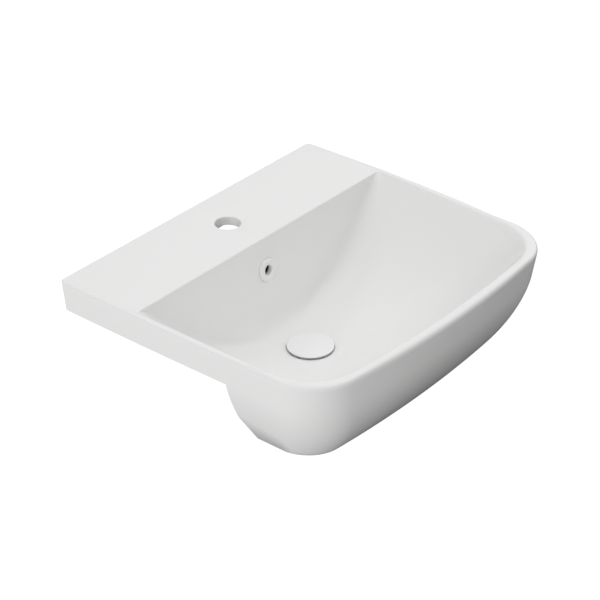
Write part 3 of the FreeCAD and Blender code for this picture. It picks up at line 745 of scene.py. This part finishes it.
def build_backnut():
    """A hexagon nut with its corners turned off, threaded onto the tail."""
    place = over_waste(level(NUT_DEPTH))
    bm = bmesh.new()
    corner_radius = NUT_ACROSS_FLATS / math.sqrt(3)
    bmesh.ops.create_circle(bm, segments=6, radius=corner_radius, cap_ends=True)
    corner = max(bm.verts, key=lambda v: v.co.x).co
    to_corner = Matrix.Rotation(-math.atan2(corner.y, corner.x), 3, "Z")
    bmesh.ops.rotate(bm, cent=(0, 0, 0), matrix=to_corner, verts=bm.verts)
    raised = bmesh.ops.extrude_face_region(bm, geom=bm.faces[:])
    tops = [g for g in raised["geom"] if isinstance(g, bmesh.types.BMVert)]
    bmesh.ops.translate(bm, vec=(0, 0, NUT_THICKNESS), verts=tops)
    bmesh.ops.transform(bm, matrix=place, verts=bm.verts)
    bmesh.ops.recalc_face_normals(bm, faces=bm.faces)
    nut = new_object("hexagon_backnut", bm)
    top = NUT_THICKNESS
    disc = [
        (0.0, 0.0),
        (NUT_FACE_RADIUS, 0.0),
        (NUT_CORNER_RADIUS, NUT_CORNER_DROP),
        (NUT_CORNER_RADIUS, top - NUT_CORNER_DROP),
        (NUT_FACE_RADIUS, top),
        (0.0, top),
    ]
    combine(nut, drill("turned_off", disc, place), "INTERSECT")
    out, into = 1.0, 0.8  # where the bore's mouth starts outside the nut and ends inside it
    bore = [
        (0.0, -out),
        (NUT_MOUTH_RADIUS, -out),
        (NUT_BORE_RADIUS, into),
        (NUT_BORE_RADIUS, top - into),
        (NUT_MOUTH_RADIUS, top + out),
        (0.0, top + out),
    ]
    combine(nut, drill("nut_bore", bore, place))
    return smooth(nut, sharper_than=20.0)


def build_spring():
    """The coil under the plunger, as a tube along a helix."""
    low, high = SPRING_HEIGHTS
    steps = SPRING_STEPS * SPRING_TURNS
    line = bpy.data.curves.new("spring_line", "CURVE")
    line.dimensions = "3D"
    line.bevel_depth = SPRING_WIRE_RADIUS * MM
    line.bevel_resolution = 3
    line.use_fill_caps = True
    run = line.splines.new("POLY")
    run.points.add(steps)
    for i, point in enumerate(run.points):
        turn = math.tau * SPRING_TURNS * i / steps
        x = SPRING_RADIUS * math.cos(turn)
        y = SPRING_RADIUS * math.sin(turn) - WASTE_FROM_WALL
        z = low + (high - low) * i / steps
        point.co = (x * MM, y * MM, z * MM, 1.0)
    helix = bpy.data.objects.new("spring_line", line)
    bpy.context.scene.collection.objects.link(helix)
    graph = bpy.context.evaluated_depsgraph_get()
    mesh = bpy.data.meshes.new_from_object(helix.evaluated_get(graph))
    bpy.data.objects.remove(helix)
    coil = bpy.data.objects.new("coil_spring", mesh)
    bpy.context.scene.collection.objects.link(coil)
    return smooth(coil, sharper_than=60.0)


# ---- Materials ----
# How close to the wall face, the seat's plane and the skirt's back the glaze stops.
BARE_AT_WALL = 0.4
BARE_AT_SEAT = 0.3
BARE_AT_SKIRT = 0.5
FACING_DOWN = -0.9  # a face looks down where its normal's Z is under this
FIRED_TONES = ((0.80, 0.77, 0.71, 1), (0.72, 0.68, 0.61, 1))
FIRED_ROUGHNESS = 0.85
CHANNEL_SHADE_MARGIN = 0.4  # how far the channel's painted shade reaches past its sides
# Painted shade: a near black that stands for the shade inside the overflow channel.
CHANNEL_SHADE_TONE = (0.02, 0.02, 0.02, 1)
SLEEVE_SHADE_DEPTHS = (3.0, 5.0)  # behind the bowl's wall, where the painted shade starts and is full
# Painted shade: the dark that stands for the little light inside the ring's sleeve.
SLEEVE_SHADE_TONE = (0.03, 0.03, 0.03, 1)


def add(tree, kind, **values):
    """A node with some of its properties or input sockets set."""
    node = tree.nodes.new(kind)
    for name, value in values.items():
        if name.startswith("in_"):
            node.inputs[name[3:].replace("_", " ")].default_value = value
        else:
            setattr(node, name, value)
    return node


def compared(tree, operation, value, limit):
    """1 where a value is over or under a limit and 0 elsewhere."""
    node = add(tree, "ShaderNodeMath", operation=operation)
    node.inputs[1].default_value = limit
    tree.links.new(value, node.inputs[0])
    return node.outputs[0]


def within(tree, value, low, high):
    """1 where a place lies between two limits in millimetres and 0 elsewhere."""
    node = add(tree, "ShaderNodeMath", operation="COMPARE")
    node.inputs[1].default_value = (low + high) / 2 * MM
    node.inputs[2].default_value = (high - low) / 2 * MM
    tree.links.new(value, node.inputs[0])
    return node.outputs[0]


def joined(tree, operation, *values):
    """The product of all of the values, or the greatest of them."""
    total = values[0]
    for value in values[1:]:
        node = add(tree, "ShaderNodeMath", operation=operation)
        tree.links.new(total, node.inputs[0])
        tree.links.new(value, node.inputs[1])
        total = node.outputs[0]
    return total


def mixed(tree, kind, factor, first, second):
    """Mixes two colours or numbers, each of them fixed or from a node."""
    node = add(tree, "ShaderNodeMix", data_type=kind)
    tree.links.new(factor, node.inputs["Factor"])
    for name, value in (("A", first), ("B", second)):
        if isinstance(value, (tuple, float)):
            node.inputs[name].default_value = value
        else:
            tree.links.new(value, node.inputs[name])
    return node.outputs["Result"]


def run_between(tree, value, low, high):
    """Runs from 0 at low to 1 at high, both in metres."""
    node = add(tree, "ShaderNodeMapRange")
    node.inputs["From Min"].default_value = low
    node.inputs["From Max"].default_value = high
    tree.links.new(value, node.inputs["Value"])
    return node.outputs["Result"]


def place_axes(tree):
    """A point's place on the object, and its X, Y and Z."""
    where = add(tree, "ShaderNodeTexCoord").outputs["Object"]
    axes = add(tree, "ShaderNodeSeparateXYZ")
    tree.links.new(where, axes.inputs["Vector"])
    return where, axes.outputs["X"], axes.outputs["Y"], axes.outputs["Z"]


def surface_group():
    """Slight unevenness: mixes two colours and two roughnesses by a slow noise, and
    raises a fine grain."""
    group = bpy.data.node_groups.new("uneven_surface", "ShaderNodeTree")
    for name, kind in (
        ("Colour", "NodeSocketColor"),
        ("Shade", "NodeSocketColor"),
        ("Blotch Scale", "NodeSocketFloat"),
        ("Grain Scale", "NodeSocketFloat"),
        ("Smoothest", "NodeSocketFloat"),
        ("Roughest", "NodeSocketFloat"),
    ):
        group.interface.new_socket(name, in_out="INPUT", socket_type=kind)
    for name, kind in (
        ("Colour", "NodeSocketColor"),
        ("Roughness", "NodeSocketFloat"),
        ("Grain", "NodeSocketFloat"),
    ):
        group.interface.new_socket(name, in_out="OUTPUT", socket_type=kind)
    source = add(group, "NodeGroupInput")
    result = add(group, "NodeGroupOutput")
    where = add(group, "ShaderNodeTexCoord")
    blotch = add(group, "ShaderNodeTexNoise", in_Detail=3.0)
    grain = add(group, "ShaderNodeTexNoise", in_Detail=2.0)
    rough = add(group, "ShaderNodeMapRange")
    link = group.links.new
    link(where.outputs["Object"], blotch.inputs["Vector"])
    link(where.outputs["Object"], grain.inputs["Vector"])
    link(source.outputs["Blotch Scale"], blotch.inputs["Scale"])
    link(source.outputs["Grain Scale"], grain.inputs["Scale"])
    link(blotch.outputs["Fac"], rough.inputs["Value"])
    link(source.outputs["Smoothest"], rough.inputs["To Min"])
    link(source.outputs["Roughest"], rough.inputs["To Max"])
    colours = source.outputs["Colour"], source.outputs["Shade"]
    link(mixed(group, "RGBA", blotch.outputs["Fac"], *colours), result.inputs["Colour"])
    link(rough.outputs["Result"], result.inputs["Roughness"])
    link(grain.outputs["Fac"], result.inputs["Grain"])
    return group


uneven = surface_group()


def finish_of(name, colours, scales, rough, bump, metallic=0.0):
    """A material with slight changes of tone and gloss and a fine grain.

    colours and rough give the ends of a slow blotch. scales gives the blotch's size and
    the grain's, and bump the grain's strength and height.
    """
    material = bpy.data.materials.new(name)
    material.use_nodes = True
    tree = material.node_tree
    shader = tree.nodes["Principled BSDF"]
    shader.inputs["Metallic"].default_value = metallic
    surface = add(tree, "ShaderNodeGroup", node_tree=uneven)
    surface.inputs["Colour"].default_value = (*colours[0], 1)
    surface.inputs["Shade"].default_value = (*colours[1], 1)
    surface.inputs["Blotch Scale"].default_value = scales[0]
    surface.inputs["Grain Scale"].default_value = scales[1]
    surface.inputs["Smoothest"].default_value = rough[0]
    surface.inputs["Roughest"].default_value = rough[1]
    relief = add(tree, "ShaderNodeBump", in_Strength=bump[0], in_Distance=bump[1])
    tree.links.new(surface.outputs["Colour"], shader.inputs["Base Color"])
    tree.links.new(surface.outputs["Roughness"], shader.inputs["Roughness"])
    tree.links.new(surface.outputs["Grain"], relief.inputs["Height"])
    tree.links.new(relief.outputs["Normal"], shader.inputs["Normal"])
    return material


def parts_of(material):
    """A finish's node tree, its shader, and its uneven surface."""
    tree = material.node_tree
    surface = next(n for n in tree.nodes if n.type == "GROUP")
    return tree, tree.nodes["Principled BSDF"], surface


def show_fired_body_and_channel_shade(material):
    """The glaze stops at the seat on the worktop and at the wall face, where the fired
    body shows. The overflow channel's inside is painted near black, as painted shade."""
    tree, shader, surface = parts_of(material)
    where, x, y, z = place_axes(tree)
    facing = add(tree, "ShaderNodeNewGeometry")
    facing_axes = add(tree, "ShaderNodeSeparateXYZ")
    tree.links.new(facing.outputs["Normal"], facing_axes.inputs["Vector"])
    at_wall = compared(tree, "GREATER_THAN", y, -BARE_AT_WALL * MM)
    behind = compared(tree, "GREATER_THAN", y, (BARE_AT_SKIRT - SKIRT_FROM_WALL) * MM)
    downward = compared(tree, "LESS_THAN", facing_axes.outputs["Z"], FACING_DOWN)
    at_seat = within(tree, z, -BARE_AT_SEAT, BARE_AT_SEAT)
    seat = joined(tree, "MULTIPLY", at_seat, behind, downward)
    bare = joined(tree, "MAXIMUM", seat, at_wall)
    speckle = add(tree, "ShaderNodeTexNoise", in_Scale=900.0, in_Detail=4.0)
    tree.links.new(where, speckle.inputs["Vector"])
    fired = mixed(tree, "RGBA", speckle.outputs["Fac"], *FIRED_TONES)
    colour = mixed(tree, "RGBA", bare, surface.outputs["Colour"], fired)
    rough = mixed(tree, "FLOAT", bare, surface.outputs["Roughness"], FIRED_ROUGHNESS)
    margin = CHANNEL_SHADE_MARGIN
    # Painted shade: inside the overflow channel the glaze colour is turned near black.
    inside = joined(
        tree,
        "MULTIPLY",
        within(tree, x, -CHANNEL_WIDTH / 2 - margin, CHANNEL_WIDTH / 2 + margin),
        within(tree, y, -CHANNEL[1] - margin, -CHANNEL[0] + margin),
        within(tree, z, level(CHANNEL_OUTLET[1]) - margin, CHANNEL_TOP + margin),
    )
    colour = mixed(tree, "RGBA", inside, colour, CHANNEL_SHADE_TONE)
    tree.links.new(colour, shader.inputs["Base Color"])
    tree.links.new(rough, shader.inputs["Roughness"])


def paint_sleeve_shade(material):
    """Painted shade: little light gets into the overflow ring's sleeve, so its colour darkens
    behind the bowl's wall.
    """
    tree, shader, surface = parts_of(material)
    y = place_axes(tree)[2]
    start, end = [(behind - overflow_from_wall) * MM for behind in SLEEVE_SHADE_DEPTHS]
    depth = run_between(tree, y, start, end)
    # Painted shade: the sleeve's colour runs to near black behind the bowl's wall.
    colour = mixed(tree, "RGBA", depth, surface.outputs["Colour"], SLEEVE_SHADE_TONE)
    tree.links.new(colour, shader.inputs["Base Color"])


# Each slot's material.
finishes = {
    "glazed_ceramic": finish_of(
        "white_glaze",
        colours=((0.925, 0.925, 0.92), (0.915, 0.915, 0.91)),
        scales=(9.0, 70.0),
        rough=(0.16, 0.24),
        bump=(0.04, 0.0006),
    ),
    "white_enamel": finish_of(
        "white_enamel",
        colours=((0.94, 0.94, 0.94), (0.93, 0.93, 0.93)),
        scales=(30.0, 300.0),
        rough=(0.18, 0.26),
        bump=(0.03, 0.0002),
    ),
    "white_plastic": finish_of(
        "white_moulding",
        colours=((0.94, 0.94, 0.94), (0.93, 0.93, 0.93)),
        scales=(40.0, 500.0),
        rough=(0.25, 0.34),
        bump=(0.05, 0.0002),
    ),
    "chromed_brass": finish_of(
        "chrome_plate",
        colours=((0.80, 0.81, 0.83), (0.72, 0.73, 0.75)),
        scales=(60.0, 600.0),
        rough=(0.06, 0.16),
        bump=(0.03, 0.0001),
        metallic=1.0,
    ),
    "plain_brass": finish_of(
        "turned_brass",
        colours=((0.72, 0.55, 0.26), (0.55, 0.40, 0.17)),
        scales=(90.0, 900.0),
        rough=(0.25, 0.45),
        bump=(0.15, 0.0002),
        metallic=1.0,
    ),
    "seal_rubber": finish_of(
        "black_rubber",
        colours=((0.035, 0.035, 0.035), (0.05, 0.05, 0.05)),
        scales=(120.0, 1500.0),
        rough=(0.6, 0.8),
        bump=(0.3, 0.0002),
    ),
    "washer_plastic": finish_of(
        "natural_plastic",
        colours=((0.74, 0.74, 0.70), (0.70, 0.70, 0.65)),
        scales=(80.0, 900.0),
        rough=(0.4, 0.55),
        bump=(0.1, 0.0002),
    ),
    "latch_plastic": finish_of(
        "acetal",
        colours=((0.78, 0.78, 0.76), (0.74, 0.74, 0.71)),
        scales=(80.0, 900.0),
        rough=(0.35, 0.5),
        bump=(0.1, 0.0002),
    ),
    "spring_steel": finish_of(
        "spring_wire",
        colours=((0.55, 0.56, 0.58), (0.45, 0.46, 0.48)),
        scales=(200.0, 1500.0),
        rough=(0.2, 0.35),
        bump=(0.1, 0.0001),
        metallic=1.0,
    ),
}
show_fired_body_and_channel_shade(finishes["glazed_ceramic"])
paint_sleeve_shade(finishes["white_plastic"])


# ---- Dressing the parts ----


def dress(piece, node, body, slot):
    """Puts a finished piece in the place of a part."""
    piece.data.materials.clear()
    piece.data.materials.append(finishes[slot])
    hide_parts(node)
    if body:
        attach(piece, body)
    return piece


def washer(bore, radius, top, foot):
    """The outline of a flat ring between two depths."""
    return [(bore, top), (radius, top), (radius, foot), (bore, foot)]


dress(build_ceramic(), "basin_body", "basin", "glazed_ceramic")

# Radius and height over the bowl's wall.
ring = [(7.0, -9.0), (12.7, -9.0), (12.7, -0.5), (16.0, -0.5)]
ring += [(16.0, 1.4), (15.5, 2.3), (14.4, 2.9), (13.0, 3.0), (8.6, 2.9), (7.4, 2.4), (7.0, 1.5)]
trim = turned_piece("overflow_trim", ring, roll=0.25, in_wall=True, segments=2)
dress(trim, "overflow_ring", "basin", "white_plastic")

# Radius and depth.
waste = [
    (FLANGE_MOUTH_RADIUS, FLANGE_TOP),
    (FLANGE_RADIUS, FLANGE_TOP),
    (FLANGE_RADIUS, FLANGE_FOOT),
    (TAIL_RADIUS, FLANGE_FOOT),
    (TAIL_RADIUS, TAIL_GROOVE_DEPTHS[0]),
    (TAIL_RADIUS - TAIL_GROOVE, TAIL_GROOVE_DEPTHS[0]),
    (TAIL_RADIUS - TAIL_GROOVE, TAIL_GROOVE_DEPTHS[1]),
    (TAIL_RADIUS, TAIL_GROOVE_DEPTHS[1]),
    (TAIL_RADIUS, TAIL_FOOT),
    (TAIL_BORE_RADIUS, TAIL_FOOT),
    (TAIL_BORE_RADIUS, TAIL_BORE_TOP),
    (FLANGE_MOUTH_RADIUS, TAIL_BORE_TOP),
]
fitting = turned_piece("waste_fitting", waste, roll=0.5, shape=cut_waste_slots)
dress(fitting, "waste_body", "basin", "chromed_brass")

cup = [(0.0, 187.0), (7.0, 187.0), (7.0, 148.0), (9.0, 148.0)]
cup += [(9.0, 190.0), (4.0, 190.0), (4.0, 194.0), (0.0, 194.0)]
collar = [(4.1, 144.0), (9.0, 144.0), (9.0, 148.0), (6.9, 148.0), (6.9, 152.0), (4.1, 152.0)]
rod = [(0.0, 136.8), (4.0, 136.8), (4.0, 170.0), (6.2, 170.0), (6.2, 171.2), (0.0, 171.2)]
carrier = [(0.0, 134.4), (19.0, 134.4), (19.0, 136.8), (7.0, 136.8)]
carrier += [(7.0, 143.0), (4.0, 143.0), (4.0, 136.8), (0.0, 136.8)]
cone = [(SEAL_BORE_RADIUS, 177.5), (25.0, 177.5), (29.0, 185.5), (SEAL_BORE_RADIUS, 185.5)]
flange_ring = washer(SEAL_BORE_RADIUS, 29.5, FLANGE_FOOT, BOWL_DEPTH + WASTE_RECESS)
slip_ring = washer(SEAL_BORE_RADIUS, 30.0, 185.5, 187.0)
plug_ring = washer(14.0, 19.1, 136.8, 139.0)

# A piece's name, its part, body, slot, edge rounding and outline.
for name, node, body, slot, roll, outline in (
    ("flange_gasket", "flange_seal", "basin", "seal_rubber", 0.2, flange_ring),
    ("cone_gasket", "cone_seal", "basin", "seal_rubber", 0.5, cone),
    ("thrust_washer", "slip_washer", "basin", "washer_plastic", 0.3, slip_ring),
    ("latch_cup", "latch_housing", "basin", "latch_plastic", 0.3, cup),
    ("latch_top", "latch_collar", "basin", "latch_plastic", 0.3, collar),
    ("push_rod", "plunger", "plug", "latch_plastic", 0.3, rod),
    ("cap_carrier", "plug_carrier", "plug", "white_plastic", 0.3, carrier),
    ("plug_gasket", "plug_seal", "plug", "seal_rubber", 0.4, plug_ring),
    ("push_cap", "plug_cap", "plug", "white_enamel", 0.0, cap_outline()),
):
    dress(turned_piece(name, outline, roll), node, body, slot)

dress(build_backnut(), "backnut", "basin", "plain_brass")

coil = dress(build_spring(), "return_spring", None, "spring_steel")
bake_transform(coil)

# A part that no piece replaces, such as the latch's rotor, keeps its own mesh.
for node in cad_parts.values():
    if not node.hide_render:
        node.data.materials.clear()
        node.data.materials.append(finishes["latch_plastic"])


# ---- Stage, light and camera ----
FLOOR_HEIGHT = -185.0
FLOOR_HALF_SIZE = 6000.0
FLOOR_TONE = (0.18, 0.18, 0.18, 1)
FLOOR_GLOW = 0.72
GLOW_FROM_X = (-0.05, -0.4)  # in metres, where the floor starts to glow and glows in full
FLOOR_SEEN = 1.05  # how bright the camera sees it, just over white
LENS = 136.4
LENS_SHIFT = 0.0029
CAMERA_PLACE = (-1.9652, -1.8017, 1.4968)  # this and the next in metres
CAMERA_TARGET = (-0.0935, -0.2632, 0.045)

# The studio's soft lights: the direction that each comes from and its strength.
STUDIO_LIGHTS = (
    ((0.0, 0.0, 1.0), 1.2),
    ((-1.0, 0.0, 0.05), 0.89),
    ((-1.0, -1.0, 0.2), 0.44),
    ((1.0, 0.0, 0.3), 1.28),
    ((0.0, 1.0, 0.4), 0.33),
)
LIGHT_SPREAD = 3.0  # more makes each light narrower


def build_floor():
    """A plain white floor. It lights the basin softly from below, most at the left. Seen
    from below it's clear, so that it doesn't hide the underside."""
    bm = bmesh.new()
    bmesh.ops.create_grid(bm, x_segments=1, y_segments=1, size=FLOOR_HALF_SIZE)
    bmesh.ops.translate(bm, vec=(0, 0, FLOOR_HEIGHT), verts=bm.verts)
    floor = new_object("floor", bm)
    material = bpy.data.materials.new("pale_floor")
    material.use_nodes = True
    tree = material.node_tree
    shader = tree.nodes["Principled BSDF"]
    shader.inputs["Base Color"].default_value = FLOOR_TONE
    shader.inputs["Roughness"].default_value = 1.0
    shader.inputs["Specular IOR Level"].default_value = 0.0
    shader.inputs["Emission Strength"].default_value = FLOOR_GLOW
    x = place_axes(tree)[1]
    tree.links.new(run_between(tree, x, *GLOW_FROM_X), shader.inputs["Emission Color"])
    seen = add(tree, "ShaderNodeEmission", in_Strength=FLOOR_SEEN)
    clear = add(tree, "ShaderNodeBsdfTransparent")
    path = add(tree, "ShaderNodeLightPath")
    side = add(tree, "ShaderNodeNewGeometry")
    surface = shader.outputs[0]
    for factor, other in (
        (path.outputs["Is Camera Ray"], seen),
        (side.outputs["Backfacing"], clear),
    ):
        blend = add(tree, "ShaderNodeMixShader")
        tree.links.new(factor, blend.inputs[0])
        tree.links.new(surface, blend.inputs[1])
        tree.links.new(other.outputs[0], blend.inputs[2])
        surface = blend.outputs[0]
    tree.links.new(surface, tree.nodes["Material Output"].inputs["Surface"])
    floor.data.materials.append(material)


def light_world():
    """Surrounds the basin with the studio's soft lights."""
    world = bpy.data.worlds.new("studio")
    bpy.context.scene.world = world
    world.use_nodes = True
    tree = world.node_tree
    where = add(tree, "ShaderNodeTexCoord")
    total = None
    for direction, strength in STUDIO_LIGHTS:
        facing = add(tree, "ShaderNodeVectorMath", operation="DOT_PRODUCT")
        facing.inputs[1].default_value = Vector(direction).normalized()
        tree.links.new(where.outputs["Generated"], facing.inputs[0])
        ahead = add(tree, "ShaderNodeMath", operation="MAXIMUM")
        ahead.inputs[1].default_value = 0.0
        tree.links.new(facing.outputs["Value"], ahead.inputs[0])
        narrow = add(tree, "ShaderNodeMath", operation="POWER")
        narrow.inputs[1].default_value = LIGHT_SPREAD
        tree.links.new(ahead.outputs[0], narrow.inputs[0])
        light = add(tree, "ShaderNodeMath", operation="MULTIPLY_ADD")
        light.inputs[1].default_value = strength
        light.inputs[2].default_value = 0.0
        tree.links.new(narrow.outputs[0], light.inputs[0])
        if total:
            tree.links.new(total, light.inputs[2])
        total = light.outputs[0]
    tree.links.new(total, tree.nodes["Background"].inputs["Color"])


def place_camera():
    """The photograph's view."""
    data = bpy.data.cameras.new("camera")
    data.lens = LENS
    data.shift_x = LENS_SHIFT
    camera = bpy.data.objects.new("camera", data)
    bpy.context.scene.collection.objects.link(camera)
    camera.location = CAMERA_PLACE
    look = Vector(CAMERA_TARGET) - camera.location
    camera.rotation_euler = look.to_track_quat("-Z", "Y").to_euler()
    bpy.context.scene.camera = camera


build_floor()
light_world()
place_camera()
bpy.context.scene.view_settings.view_transform = "Standard"
